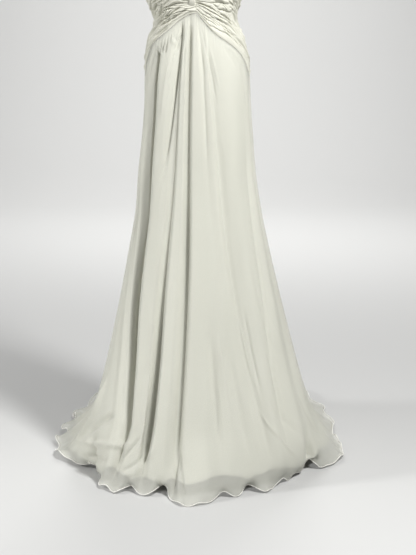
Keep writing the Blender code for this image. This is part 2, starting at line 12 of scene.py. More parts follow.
import bpy
import numpy as np
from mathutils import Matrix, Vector


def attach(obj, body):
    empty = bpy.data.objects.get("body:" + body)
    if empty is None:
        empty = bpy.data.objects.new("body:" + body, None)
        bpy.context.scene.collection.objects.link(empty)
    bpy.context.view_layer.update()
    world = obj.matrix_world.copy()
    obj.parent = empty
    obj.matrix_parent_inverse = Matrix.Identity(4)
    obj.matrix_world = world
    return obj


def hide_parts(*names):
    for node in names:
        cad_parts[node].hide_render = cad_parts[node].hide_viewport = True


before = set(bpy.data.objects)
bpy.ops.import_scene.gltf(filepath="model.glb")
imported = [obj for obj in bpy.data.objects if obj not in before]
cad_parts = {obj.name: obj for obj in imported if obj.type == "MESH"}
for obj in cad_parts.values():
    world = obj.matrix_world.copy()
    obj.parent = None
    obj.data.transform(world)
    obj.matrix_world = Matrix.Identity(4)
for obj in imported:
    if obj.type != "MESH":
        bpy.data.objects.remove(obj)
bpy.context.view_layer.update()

# Heights and cloth
MM = 0.001  # the tables' unit of length, in metres
FLOOR = -1.22  # height of the floor under the waist
HEM_CLEAR = 0.0015  # cloth above the floor
POOL_START = -1.05  # height where the skirt begins to spread towards its hem
TRAIN_ROUNDNESS = 2.4  # exponent of the train's outline, 2 is an ellipse
CHIFFON_SHEET = 0.0006  # thickness of a chiffon shell
LINING_SHEET = 0.0007  # thickness of the lining's shell
LINING_INSET = 0.0050  # lining behind the outer skirt
BODICE_INSIDE = 0.0010  # bodice foundation, inside the body surface
SEAM_HALF_GAP = 0.00012  # half the space between two shells at a seam
TOP_GAP = 0.0003  # skirt's top edge under the slanting seam
HIP_REACH, LEAST_REACH = 0.13, 0.09  # cloth's distance from the axis at the hip and where least

# Body surface, one row for each section
# height, left half width, right half width, front depth, back depth, height at the back
SECTIONS = [
    (260, 150, 148, 104, 98, 260),
    (200, 153, 150, 112, 98, 200),
    (150, 150, 144, 114, 96, 150),
    (100, 141, 131, 108, 92, 100),
    (52, 129, 116, 98, 86, 52),
    (26, 115, 108, 92, 82, 26),
    (0, 108, 105, 88, 80, 0),
    (-26, 115, 115, 91, 83, -26),
    (-53, 125, 127, 96, 90, -53),
    (-100, 134, 138, 105, 106, -100),
    (-160, 141, 144, 112, 122, -160),
    (-220, 143, 147, 116, 130, -220),
    (-300, 149, 153, 120, 132, -300),
    (-400, 160, 161, 126, 137, -400),
    (-500, 167, 176, 137, 150, -500),
    (-600, 185, 197, 153, 172, -600),
    (-750, 214, 233, 184, 225, -750),
    (-900, 247, 272, 220, 300, -900),
    (-1000, 272, 300, 248, 385, -1003),
    (-1100, 300, 328, 278, 520, -1105),
    (-1160, 316, 344, 292, 650, -1168),
    (-1195, 325, 353, 300, 800, -1200),
    (-1210, 329, 357, 303, 890, -1211),
    (-1220, 332, 360, 305, 970, -1218.5),
]

# Skirt folds across the front, left to right. Each row is a crest or the bottom of a trough.
# angle at hip, thigh, knee and ankle, depth below the body surface at the same four
FRONT_FOLDS = [
    (-86, -86, -81, -64, 4, 2, 0, 0),
    (-82, -82, -75, -50, 7, 9, 9, 4),
    (-76, -76, -69, -46, 0, 0, 7, 12),
    (-59, -65, -63, -41, 5, 15, 28, 28),
    (-52, -55, -51, -37, 0, 0, 0, 0),
    (-38, -44, -42, -34, 0, 0, 0, 2),
    (-26, -35, -37, -30, 10, 4, 0, 4),
    (-22, -26, -31, -27, 8, 9, 18, 26),
    (-18, -22, -25, -23, 0, 0, 0, 0),
    (-14, -17, -18, -17, 1, 0, 1, 2),
    (-10.5, -11, -10, -11, 14, 18, 20, 20),
    (-4, -5, -4, -6, 0, 0, 0, 0),
    (0, 6, 9, 4, 0, 0, 0, 0),
    (9, 14, 19, 11, 3, 3, 3, 6),
    (15, 21, 26, 18, 0, 0, 0, 0),
    (19, 28, 33, 38, 3, 6, 7, 8),
    (40, 47, 49, 44, 0, 0, 0, 0),
    (58, 66, 62, 50, 1, 4, 6, 7),
    (74, 75, 71, 61, 0, 0, 0, 0),
    (80, 81, 78, 69, 3, 4, 5, 7),
    (86, 86, 85, 80, 0, 0, 0, 0),
]

# Skirt folds across the back, right-hand seam to centre back; the other half is like it
# angle at hip, thigh, knee and ankle, depth at the same four, rise of the train
BACK_FOLDS = [
    (97, 97, 98, 99, 2, 5, 9, 14, 0),
    (104, 104, 106, 108, 0, 0, 0, 0, 12),
    (112, 111, 114, 116, 3, 8, 13, 18, 2),
    (119, 119, 121, 123, 0, 0, 0, 0, 15),
    (126, 127, 129, 131, 1, 5, 12, 20, 0),
    (134, 134, 136, 138, 0, 0, 1, 2, 10),
    (141, 142, 143, 145, 4, 10, 17, 24, 3),
    (149, 149, 150, 151, 0, 0, 0, 0, 17),
    (155, 156, 156, 157, 2, 6, 12, 18, 0),
    (162, 162, 162, 163, 0, 0, 0, 0, 11),
    (168, 168, 168, 169, 4, 9, 16, 22, 2),
    (174, 174, 174, 174.5, 0, 0, 1, 2, 14),
]
DEEP_TROUGHS = (-59, -22, -10.5)  # fold rows whose columns crowd together, named by hip angle
GATHERED_FROM, GATHERED_TO = -60, -11  # stretch of the hip with closer columns
LEFT_BACK_SHIFT = 1.6  # degrees that the left-hand back folds wander from the right-hand ones
FOLD_LEVELS = (-1.05, -0.65, -0.35, -0.10)  # heights of ankle, knee, thigh and hip

# Spread of the skirt over the floor, its broad lobes: angle, distance from the waist's axis
HEM_SPREAD = [
    (-112, 400), (-99, 410), (-88, 380), (-78, 345), (-66, 322), (-52, 330), (-40, 345), (-28, 335),
    (-17, 325), (-6, 362), (4, 368), (14, 338), (26, 325), (40, 318), (54, 314), (64, 328),
    (74, 362), (84, 398), (94, 420), (104, 425),
]
# Edge of the hem, one row for each small lobe or notch: angle, distance from the waist's axis
HEM_LOBES = [
    (-112, 395), (-99, 412), (-93, 396), (-89, 382), (-84, 352), (-78, 338), (-74, 322),
    (-68.5, 272), (-63, 280), (-57, 302), (-45, 340), (-36, 362), (-32, 322), (-25, 338),
    (-20, 333), (-17, 280), (-11, 345), (-4, 386), (5, 365), (12, 324), (19, 332), (26, 300),
    (33, 340), (40, 320), (52, 312), (62, 314), (70.5, 297), (73, 344), (78.5, 378), (84, 398),
    (91, 411), (104, 425),
]
TRAIN_LEFT = 0.400  # half width of the train, left
TRAIN_RIGHT = 0.420  # half width of the train, right
TRAIN_WAVE = 0.012  # reach of the waves along the train's hem
# Places where the train's hem lies further in: angle, half width in degrees, depth
TRAIN_DENTS = [(115, 6, 28), (141.5, 3, -14), (-150, 6, 18)]

# Slanting seam between bodice and skirt, all round: angle, height
SEAM_LINE = [
    (-180, -132), (-150, -138), (-120, -146), (-90, -140), (-82, -100), (-72, -64), (-58, -43),
    (-45, -25), (-34, -9), (-21, 5), (-10, 13), (0, 16), (8, 4), (14, -8), (22, -23), (33, -41),
    (46, -57), (58, -74), (67, -91), (74, -110), (80, -132), (90, -150), (120, -150), (150, -138),
    (180, -132),
]
# Neckline, the same on both sides: angle, height
NECKLINE = [
    (0, 160), (5, 172), (13, 200), (29, 228), (50, 215), (90, 178), (135, 164), (180, 158),
]
CUP_ANGLE, CUP_HEIGHT, CUP_DEPTH = 29, 0.150, 0.022
CUP_SPREAD_ANGLE, CUP_SPREAD_HEIGHT = 21, 0.052

# Bodice pleats
FRONT_PLEATS, BACK_PLEATS = 17, 12
KNOT_SHARE, KNOT_REACH = 0.6, 0.34  # this share of the pleats meets in this share of the centre
PLEAT_HEIGHT = 0.0072  # largest rise of a bodice pleat
EDGE_RISE = 0.0004  # how far the bodice's lower edge stands over the skirt
KNOT_PINCH = 0.0040  # how far the pleats are drawn in beside the centre knot
WRINKLE_HEIGHT = 0.0030  # rise of the fine wrinkles between the pleats
LEFT_WRINKLES = 0.45  # how much more they rise on the left
RIGHT_CALM = 0.18  # how much lower all the pleats are on the right
WRINKLES_A_PLEAT = 1.7  # how many of them lie on one pleat
SMOOTH_BAND = 0.024  # plain stretch under the left half of the slanting seam

# Gathers, sewn seams and the sheer hem
GATHER_HEIGHT = 0.0009
LEAST_CURL = 0.05  # a smaller turn, in radians, stays flat
RIPPLE_HEIGHT, RIPPLE_REACH = 0.0022, 0.10  # rise at the hem's edge, how far up the cloth it reaches
SEAM_DEPTH, SEAM_HALF_WIDTH = 0.0013, 0.0035

# Main troughs, deepened along the bottom of their folds. Each row: angle at hip, thigh, knee and
# ankle; added depth, left half width and right half width at the same four; how far one wall
# laps over the bottom (the left wall above 0, the right one below 0); height where the trough
# begins and the length over which it fades in; height where it ends and the length of its fading
SKIRT_TROUGHS = [
    ((-59, -65, -63, -41), (20, 27, 21, 12), (3, 3.5, 4, 5), (8, 15, 16, 12), 6, -74, 28, -980, 120),
    ((-59, -65, -63, -41), (0, 0, 14, 6), (7, 7, 7, 10), (8, 8, 12, 12), 0, -860, 120, -1080, 100),
    ((-24, -37, -58, -60), (9, 8, 3, 0), (2.4, 5, 8, 8), (2.4, 4, 7, 7), 0, -4, 20, -500, 220),
    ((-22, -26, -31, -27), (-2, -4, -1, 13), (5, 5, 8, 9), (5, 4, 4, 4), -4, -30, 60, -1150, 50),
    ((-10.5, -11, -10, -11), (-1, -3, 5, 6), (4, 5, 4, 6), (6, 6, 5, 7), 0, 6, 20, -1150, 80),
    ((-82, -82, -75, -50), (0, -3, -6, -3), (10, 10, 12, 12), (10, 10, 12, 12), 0, -100, 100, -1150, 200),
    ((19, 28, 33, 38), (1, 2, 3, 3), (7, 7, 7, 7), (7, 7, 7, 7), 0, -80, 100, -1160, 120),
    ((58, 66, 62, 50), (1, 2, 4, 4), (7, 7, 7, 9), (7, 7, 7, 7), 0, -300, 120, -1120, 120),
    ((68, 68, 68, 68), (0, 0, 0, 28), (22, 22, 22, 22), (12, 12, 12, 12), 0, -1080, 80, -1222, 50),
    ((-62, -62, -62, -62), (0, 0, 0, 26), (22, 22, 22, 22), (16, 16, 16, 16), 0, -1090, 80, -1222, 50),
    ((-45, -45, -45, -45), (0, 0, 0, -14), (24, 24, 24, 24), (24, 24, 24, 24), 0, -1000, 160, -1300, 30),
]

# Fine creases of the skirt, each along a bent line over three points
# angle and height at start, middle and end, half width, depth (below 0 is a ridge)
SKIRT_CREASES = [
    (-45, -55, -45, -72, -46, -92, 1.8, 4.8),
    (-48, -60, -49, -72, -50, -86, 1.6, 4.4),
    (-52, -66, -52, -80, -54, -94, 1.6, 4.4),
    (-46.5, -60, -47, -72, -48, -86, 1.5, -3),
    (-50, -66, -51, -76, -52, -90, 1.5, -3),
    (-41, -50, -41, -58, -42, -70, 2, 1.6),
    (-37, -46, -32, -44, -30, -57, 1.8, 4),
    (-38, -50, -35, -56, -34, -66, 3.6, -3.2),
    (-30, -50, -36, -110, -42, -230, 5, 3),
    (-36, -90, -42, -160, -47, -280, 6, -2.6),
    (-25, -26, -27, -56, -32, -84, 2.4, 4.4),
    (-28, -30, -30, -50, -34, -74, 2.4, -2.4),
    (-19, -30, -19.5, -80, -21, -170, 2, 2.2),
    (-12, -2, -14, -60, -17, -150, 1.8, 1.6),
    (3, 4, 7, -70, 14, -190, 1.7, 1.2),
    (1, -10, 3, -80, 5, -160, 3.2, -1.6),
    (14, -50, 21, -130, 28, -230, 2.2, 2),
    (19, -60, 25, -112, 31, -185, 3, -2),
    (9, -20, 13, -60, 18, -120, 1.7, 1.6),
    (42, -62, 58, -86, 68, -128, 4.6, -3),
    (38, -66, 50, -96, 64, -150, 4, 1.6),
    (62, -100, 68, -150, 72, -260, 5, 1.8),
    (-70, -70, -80, -100, -81, -160, 2.2, 3.4),
    (-60, -66, -69, -100, -70, -165, 2.2, 3.4),
    (-65, -78, -72, -120, -75, -180, 2, 3),
    (-74, -110, -78, -150, -79, -230, 2.4, 2),
    (6, -30, 12, -180, 14, -420, 3, 2.2),
    (11, -780, 12, -960, 13, -1150, 8, 5),
    (30, -300, 33, -420, 35, -600, 7, 1.6),
    (35, -770, 36, -850, 38, -950, 2.4, -3.4),
    (39, -740, 41, -860, 41, -1000, 4, 3.6),
    (37, -1000, 41, -1085, 57, -1160, 3.4, -3.6),
    (44, -980, 50, -1060, 64, -1120, 7, 2.6),
    (53, -820, 54, -960, 50, -1100, 6, 2.2),
    (52, -620, 55, -760, 60, -960, 6, 2),
    (-70, -940, -66, -1100, -92, -1168, 7, -16),
    (-84, -1156, -60, -1124, -33, -1096, 7, -13),
    (-74, -1118, -62, -1080, -50, -1030, 10, 10),
    (-76, -1190, -60, -1168, -44, -1145, 8, 9),
    (-41, -1020, -40, -1070, -35, -1110, 10, 3),
    (-29, -1070, -35, -1110, -40, -1165, 4, 5),
    (-26, -1110, -29, -1150, -38, -1170, 4, 5),
    (-22, -1080, -24, -1160, -38, -1190, 8, -3.5),
    (-9.5, -1100, -10.5, -1150, -11, -1219, 3.4, 7),
    (-9.5, -1095, -7.5, -1160, -4, -1219, 3.2, 9),
    (-8, -1120, -8, -1170, -7.5, -1219, 4, -4),
    (-30, -980, -29, -1060, -25, -1150, 6, 4),
    (17, -780, 19.5, -950, 21, -1120, 7, -4),
    (24, -840, 26, -1000, 28, -1150, 8, 4),
    (31, -960, 32, -1060, 34, -1170, 6, -2.4),
    (70, -980, 74, -1080, 82, -1160, 8, 3),
    (84, -960, 84, -1060, 88, -1150, 8, -2.5),
    (100, -190, 101, -260, 102, -380, 5, 2.2),
    (123, -170, 124, -230, 125, -330, 4, 2),
    (146, -165, 145, -240, 146, -420, 5, 2.4),
    (171, -160, 171, -240, 171, -400, 4, 2),
    (-99, -190, -100, -280, -102, -420, 5, 2.2),
    (-128, -170, -129, -240, -130, -340, 4, 2),
    (-152, -165, -151, -250, -152, -400, 5, 2.4),
    (-172, -160, -172, -240, -173, -380, 4, 2),
    (118, -700, 122, -860, 128, -1020, 8, 2.6),
    (-133, -640, -137, -820, -143, -1000, 8, 2.6),
    (160, -860, 158, -1000, 156, -1120, 9, 3),
    (-164, -820, -163, -960, -160, -1100, 9, 3),
]

# Fine creases of the bodice front, the same columns
BODICE_CREASES = [
    (-9, 41, 13, 41, 30, 23, 1.8, 6.5),
    (26, 27, 44, 14, 74, -18, 1.6, 4),
    (4, 19, 24, 2, 46, -27, 1.5, 3),
    (40, -20, 52, -34, 66, -50, 1.5, 3.2),
    (20, 40, 32, 44, 48, 40, 1.8, 4),
    (28, 26, 44, 26, 68, 13, 1.6, 3.4),
    (52, 36, 62, 26, 76, 10, 1.8, 4),
    (46, 52, 58, 40, 74, 30, 1.8, 3.4),
    (50, -4, 64, -14, 80, -40, 1.5, 3.2),
    (16, 18, 30, 8, 48, -12, 1.2, 2.4),
    (20, 8, 34, -6, 52, -30, 1.2, 2.2),
    (32, -2, 46, -20, 60, -40, 1.2, 2.2),
    (-7, 21, -36, 27, -64, -15, 1.4, 6),
    (-56, -6, -68, -20, -84, -50, 1.4, 5.4),
    (-20, 34, -42, 20, -70, -26, 1.4, 5.6),
    (-8, 42, -34, 44, -62, 22, 1.6, 6),
    (-30, 26, -50, 34, -74, 2, 1.4, 6),
    (-42, 14, -56, 8, -76, -16, 1.3, 5),
    (-46, 22, -60, 16, -80, 0, 1.3, 4.8),
    (-44, -18, -58, -34, -76, -66, 1.3, 5),
    (-36, 58, -56, 53, -78, 38, 1.6, 5.4),
    (-24, 14, -44, 3, -66, -32, 1.1, 4),
    (-32, 1, -50, -17, -70, -48, 1.1, 4.2),
    (-38, 6, -54, -6, -74, -36, 1, 3.6),
    (-26, 34, -44, 38, -66, 16, 1, 3.6),
    (-44, 44, -60, 38, -80, 20, 1.1, 4),
    (-50, 66, -64, 62, -80, 54, 1.2, 4),
    (-56, 44, -70, 34, -86, 12, 1.2, 5),
    (-60, 30, -72, 20, -86, -4, 1.2, 5),
    (-62, 4, -74, -12, -87, -44, 1.2, 5),
    (-64, -14, -74, -30, -86, -64, 1.2, 4.6),
    (-60, -34, -70, -52, -82, -86, 1.2, 4.6),
    (58, 50, 70, 36, 86, 14, 1.2, 4),
    (62, 30, 74, 12, 87, -14, 1.2, 3.8),
    (62, 0, 74, -20, 87, -56, 1.2, 3.8),
    (66, -30, 76, -56, 87, -96, 1.2, 3.6),
    (-8, 30, -18, 28, -32, 14, 2.2, -2),
    (4, 30, 14, 24, 26, 8, 2.4, -2.2),
]

# Places where the hem curls up off the floor: angle, half width in degrees, turn in degrees,
# radius of the curl
HEM_CURLS = [
    (-89, 9, 70, 26), (-45, 7, 30, 30), (34, 9, 26, 22), (56, 7, 34, 18), (90, 7, 48, 20),
    (113, 5, 60, 13), (128, 6, 50, 18), (147, 5, 25, 16), (166, 6, 50, 20), (-156, 6, 44, 17),
    (-170, 6, 44, 22), (-108, 4, 60, 16),
]
# Flutes, where the hem lifts in a small arch: angle, half width in degrees, height and length
HEM_FLUTES = [
    (71.2, 1.9, 38, 80), (26, 3.5, 12, 60), (12, 3, 9, 50), (46, 3.5, 9, 50), (60, 3, 8, 50),
    (-17, 3, 16, 60), (-31.5, 3, 14, 60), (-50, 3, 12, 50), (-70, 4, 14, 60), (-80, 3, 8, 40),
    (-131, 1.8, 30, 90), (-118, 3, 14, 60), (86, 3, 10, 50), (99, 2.5, 16, 60), (108, 2.5, 8, 50),
    (121, 2, 16, 70), (136, 2.5, 12, 60), (159, 2.5, 18, 70), (172, 2.5, 14, 60),
    (-161, 2.5, 22, 70),
]

# Skirt panels: name, seam angles at both sides, widest step between columns, rows, lining step,
# lining rows
PANELS = [
    ("front", -90, 90, 1.0, 158, 1.25, 104),
    ("back_right", 90, 180, 0.95, 168, 1.8, 108),
    ("back_left", -180, -90, 0.95, 168, 1.8, 108),
]
ROW_CROWDING = 0.35  # how much closer the rows lie at a panel's top and hem
ROLLED_HEM, LINING_FOLD = (0.0015, 8), (0.0014, 6)  # radius and sides of the cords at the hems
# Lining hem above the chiffon hem along the cloth: angle, distance
LINING_HEM = [
    (-180, 60), (-120, 56), (-99, 45), (-86, 34), (-72, 28), (-56, 28), (-49, 36), (-43, 60),
    (-37, 58), (-31, 38), (-25, 52), (-19, 38), (-12, 56), (-5, 68), (4, 66), (14, 60), (26, 46),
    (37, 54), (48, 48), (57, 36), (66, 54), (76, 60), (95, 60), (180, 60),
]
# Bodice panels: node, seam angles at both sides, pleats, drift of their pattern, columns, rows
BODICE_PANELS = [
    ("bodice_front_right", 0, 90, FRONT_PLEATS, 0.4, 124, 280),
    ("bodice_front_left", -90, 0, FRONT_PLEATS, 2.3, 124, 280),
    ("bodice_back_right", 90, 180, BACK_PLEATS, 1.1, 90, 150),
    ("bodice_back_left", -180, -90, BACK_PLEATS, 3.0, 90, 150),
]

# Centre knot: a short band wound round the place where the pleats meet
KNOT_LOW, KNOT_HIGH = 0.022, 0.072
KNOT_HALF_WIDTH, KNOT_HALF_DEPTH, KNOT_OFF_BODICE = 0.0056, 0.0042, 0.0002
KNOT_PLEATS, KNOT_TURN = 5, 1.9  # pleats round it, radians that they wind
KNOT_X, KNOT_LEAN, KNOT_LEFT_SLOPE = -0.0055, 0.006, 1.8

# Cloths: colour, painted shade in long streaks, fineness of the weave, crinkle, strength of the bump, sheen
CHIFFON = (0.79, 0.79, 0.715), (0.74, 0.74, 0.665), 1700, 0.5, 0.25, 0.15
SATIN = (0.78, 0.78, 0.705), (0.73, 0.73, 0.655), 2400, 0.12, 0.10, 0.10
# Ruched chiffon is the skirt's chiffon made darker: painted shade of its dense ruching.
RUCHED_PAINTED_SHADE = (0.66, 0.655, 0.575), (0.60, 0.595, 0.515), 1700, 0.5, 0.30, 0.15
BUMP_HEIGHT = 0.0004  # height of the weave and of the wound thread

# Camera: focal length and picture height in pixels, tilt in degrees
FOCAL_PIXELS, PHOTO_HEIGHT, LOOKING_DOWN = 1249.4, 555, 10.47


def smooth_curve(knots, values, at):
    """Smooth curve through a table's points that never overshoots them."""
    knots, values = np.asarray(knots, float), np.asarray(values, float)
    step = np.diff(knots)
    slope = np.diff(values) / step
    tangent = np.zeros_like(values)
    tangent[0], tangent[-1] = slope[0], slope[-1]
    same_way = slope[:-1] * slope[1:] > 0
    weight_a = 2 * step[1:] + step[:-1]
    weight_b = step[1:] + 2 * step[:-1]
    safe_a = np.where(same_way, slope[:-1], 1)
    safe_b = np.where(same_way, slope[1:], 1)
    mean = (weight_a + weight_b) / (weight_a / safe_a + weight_b / safe_b)
    tangent[1:-1] = np.where(same_way, mean, 0)
    at = np.clip(at, knots[0], knots[-1])
    cell = np.clip(np.searchsorted(knots, at, side="right") - 1, 0, len(step) - 1)
    part = (at - knots[cell]) / step[cell]
    from_start = (1 + 2 * part) * (1 - part) ** 2 * values[cell]
    from_end = part ** 2 * (3 - 2 * part) * values[cell + 1]
    lean_start = part * (1 - part) ** 2 * step[cell] * tangent[cell]
    lean_end = part ** 2 * (part - 1) * step[cell] * tangent[cell + 1]
    return from_start + from_end + lean_start + lean_end


def table_curve(table, at):
    """Smooth curve in metres through a table of angles and lengths."""
    return smooth_curve([row[0] for row in table], [row[1] * MM for row in table], at)


def ease(value):
    """Smooth step from 0 to 1."""
    value = np.clip(value, 0, 1)
    return value * value * (3 - 2 * value)


def bell(off, half_width):
    """1 at its middle, falling smoothly to nothing on both sides."""
    return np.exp(-(off / half_width) ** 2)


def unit(vectors):
    """Vectors made one metre long."""
    return vectors / np.maximum(np.linalg.norm(vectors, axis=-1, keepdims=True), 1e-12)


def section_column(index, height):
    """One column of the sections, read at any height."""
    rows = SECTIONS[::-1]
    return smooth_curve([row[0] * MM for row in rows], [row[index] * MM for row in rows], height)


def oval(angle, left, right, front, back, roundness):
    """Distance from the axis to an oval with its own half width or depth each way."""
    turn = np.radians(angle)
    across = np.where(np.sin(turn) < 0, left, right)
    along = np.where(np.cos(turn) > 0, front, back)
    total = (np.abs(np.sin(turn)) / across) ** roundness + (np.abs(np.cos(turn)) / along) ** roundness
    return total ** (-1 / roundness)


def backness(angle):
    """0 across the front, 1 at the back."""
    return ease((np.abs(angle) - 62) / 100)


def pooling(height):
    """0 where the skirt hangs, 1 at its hem on the floor."""
    return np.clip((POOL_START - height) / (POOL_START - FLOOR), 0, 1) ** 2


def hem_reach(angle, pool):
    """Distance of the hem from the axis: lobes at the front, a waving train behind.

    The small notches show only in the last stretch, where the pool is near 1.
    """
    broad = table_curve(HEM_SPREAD, angle)
    lobes = broad + (table_curve(HEM_LOBES, angle) - broad) * pool ** 4
    back = SECTIONS[-1][4] * MM
    turn = np.radians(angle)
    train = oval(angle, TRAIN_LEFT, TRAIN_RIGHT, back, back, TRAIN_ROUNDNESS)
    train += TRAIN_WAVE * np.sin(turn * 26 + 0.8 * np.sin(turn * 5))
    for centre, half_width, depth in TRAIN_DENTS:
        train -= depth * MM * bell(angle - centre, half_width)
    behind = ease((np.abs(angle) - 99) / 12)
    return lobes * (1 - behind) + train * behind


def body_point(angle, height):
    """Point on the plain body surface, before any fold."""
    angle, height = np.broadcast_arrays(np.asarray(angle, float), np.asarray(height, float))
    left, right, front, back = (section_column(index, height) for index in (1, 2, 3, 4))
    roundness = 2 + (TRAIN_ROUNDNESS - 2) * ease((-0.85 - height) / 0.3)
    reach = oval(angle, left, right, front, back, roundness)
    pool = pooling(height)
    reach = reach * (1 - pool) + hem_reach(angle, pool) * pool
    around = (np.abs(angle) - CUP_ANGLE) / CUP_SPREAD_ANGLE
    above = (height - CUP_HEIGHT) / CUP_SPREAD_HEIGHT
    reach = reach + CUP_DEPTH * np.exp(-around ** 2 - above ** 2)
    behind = backness(angle)
    level = height * (1 - behind) + section_column(5, height) * behind
    turn = np.radians(angle)
    return np.stack([reach * np.sin(turn), -reach * np.cos(turn), level], axis=-1)


def body_normal(angle, height):
    """Outward unit normal of the plain body surface."""
    level = np.maximum(height, FLOOR)
    along = body_point(angle + 0.5, level) - body_point(angle - 0.5, level)
    below = body_point(angle, level - 0.002) - body_point(angle, level + 0.002)
    return unit(np.cross(below, along))


def grid_normals(grid):
    """Outward unit normals of a grid of points, rows running down and columns to the right."""
    return unit(np.cross(np.gradient(grid, axis=0), np.gradient(grid, axis=1)))


def sideways(grid):
    """Unit directions along the rows of a grid of points."""
    return unit(np.gradient(grid, axis=1))


def fold_lines():
    """All crests and troughs round the skirt in order, with the three seams among them."""
    lines = [row + (0,) for row in FRONT_FOLDS]
    for row in BACK_FOLDS:
        lines.append(row)
        wander = LEFT_BACK_SHIFT * math.sin(row[0] * 0.13)
        lines.append(tuple(-angle - wander for angle in row[:4]) + row[4:])
    for seam in (-180, -90, 90, 180):
        lines.append((seam,) * 4 + (1, 1, 1, 1, 1))
    return sorted(lines, key=lambda row: row[0])


FOLD_LINES = fold_lines()


def fold_state(places, heights):
    """Angle, depth and train rise at places counted in fold lines, such as 3.5, one a column."""
    angle, depth, rise = (np.zeros(heights.shape) for _ in range(3))
    for column, place in enumerate(places):
        low = min(int(place), len(FOLD_LINES) - 2)
        part = place - low
        rounded = ease(part)
        first, second = FOLD_LINES[low], FOLD_LINES[low + 1]
        here = heights[:, column]
        angle[:, column] = (smooth_curve(FOLD_LEVELS, first[3::-1], here) * (1 - part)
                            + smooth_curve(FOLD_LEVELS, second[3::-1], here) * part)
        depth[:, column] = (smooth_curve(FOLD_LEVELS, first[7:3:-1], here) * (1 - rounded)
                            + smooth_curve(FOLD_LEVELS, second[7:3:-1], here) * rounded)
        rise[:, column] = first[8] * (1 - rounded) + second[8] * rounded
    return angle, depth * MM, rise * MM


def seam_height(angle):
    """Height of the slanting seam."""
    return table_curve(SEAM_LINE, angle)


def neck_height(angle):
    """Height of the bodice's upper edge."""
    return table_curve(NECKLINE, np.abs(angle))


def line_place(angle):
    """Place of a seam among the fold lines."""
    return [row[0] for row in FOLD_LINES].index(angle)


def fine_places(start, end, step):
    """Columns from one seam to the next, closer where the front is gathered and beside deep troughs."""
    places = []
    for number in range(line_place(start), line_place(end)):
        first, second = FOLD_LINES[number], FOLD_LINES[number + 1]
        widest = max(b - a for a, b in zip(first[:4], second[:4]))
        closer = 0.74 if GATHERED_FROM <= first[0] < GATHERED_TO else 1
        count = math.ceil(widest / step / closer)
        share = np.arange(count) / count
        if first[0] in DEEP_TROUGHS:
            share = share ** 1.4
        elif second[0] in DEEP_TROUGHS:
            share = 1 - (1 - share) ** 1.4
        places += list(number + share)
    return np.array(places + [line_place(end)], float)


def along_columns(points):
    """Distance down each column of a grid, from its first row."""
    steps = np.linalg.norm(np.diff(points, axis=0), axis=-1)
    return np.concatenate([np.zeros((1, points.shape[1])), np.cumsum(steps, axis=0)])


def resample(values, distance, wanted):
    """Values of each column read at other distances down it."""
    flat = values.reshape(*values.shape[:2], -1)
    result = np.zeros((*wanted.shape, flat.shape[2]))
    for column, axis in np.ndindex(flat.shape[1:]):
        result[:, column, axis] = np.interp(wanted[:, column], distance[:, column], flat[:, column, axis])
    return result.reshape(wanted.shape + values.shape[2:])


def drape(start, end, step, rows=420):
    """Dense grid of a skirt panel: points, angles and heights, closer rows near the floor."""
    places = fine_places(start, end, step)
    top_angle = fold_state(places, np.full((1, len(places)), FOLD_LEVELS[-1]))[0]
    top = seam_height(top_angle) - TOP_GAP
    share = 1 - (1 - np.linspace(0, 1, rows)[:, None]) ** 2
    heights = top + (FLOOR - top) * share
    angle, depth, rise = fold_state(places, heights)
    begin = 0.12 + 0.88 * ease((seam_height(angle) - heights) / 0.07)
    pool = pooling(heights)
    move = rise * pool - depth * begin * (1 - pool)
    points = body_point(angle, heights) + body_normal(angle, heights) * move[..., None]
    points[..., 2] = np.maximum(points[..., 2], FLOOR + HEM_CLEAR)
    return points, angle, heights


def crease_relief(creases, angle, height, reach):
    """Height of the surface over its plain form, from a table of creases."""
    relief = np.zeros(angle.shape)
    for a0, h0, a1, h1, a2, h2, half_width, depth in creases:
        half_width = half_width * MM
        length = math.hypot(math.radians(a2 - a0) * HIP_REACH, (h2 - h0) * MM)
        steps = np.linspace(0, 1, max(12, math.ceil(length / half_width / 0.6)))
        shares = (1 - steps) ** 2, 2 * steps * (1 - steps), steps ** 2
        path_angle = shares[0] * a0 + shares[1] * a1 + shares[2] * a2
        path_height = (shares[0] * h0 + shares[1] * h1 + shares[2] * h2) * MM
        spread = 3 * half_width
        turn = math.degrees(spread / LEAST_REACH)
        near = ((angle > path_angle.min() - turn) & (angle < path_angle.max() + turn)
                & (height > path_height.min() - spread) & (height < path_height.max() + spread))
        if not near.any():
            continue
        across = np.radians(angle[near][:, None] - path_angle) * reach[near][:, None]
        distance = np.hypot(across, height[near][:, None] - path_height)
        closest = distance.argmin(axis=1)
        fade = ease(steps[closest] / 0.3) * ease((1 - steps[closest]) / 0.3)
        relief[near] -= depth * MM * bell(distance.min(axis=1), half_width) * fade
    return relief


def trough_relief(angle, height, reach):
    """Height over the plain form and sideways move, from the deepened troughs."""
    relief, lap = np.zeros(angle.shape), np.zeros(angle.shape)
    level = height / MM
    for turns, depths, lefts, rights, over, top, top_fade, bottom, bottom_fade in SKIRT_TROUGHS:
        middle, depth, left, right = (
            smooth_curve(FOLD_LEVELS, column[::-1], height) for column in (turns, depths, lefts, rights))
        off = np.radians(angle - middle) * reach
        width = np.where(off < 0, left, right) * MM
        fade = ease((top - level) / top_fade) * ease((level - bottom) / bottom_fade)
        relief -= depth * MM * fade * bell(off, width)
        wall = math.copysign(1.9, -over) * np.where(over > 0, left, right) * MM
        lap += over * MM * fade * bell(off - wall, np.abs(wall) * 0.8 + MM)
    return relief, lap


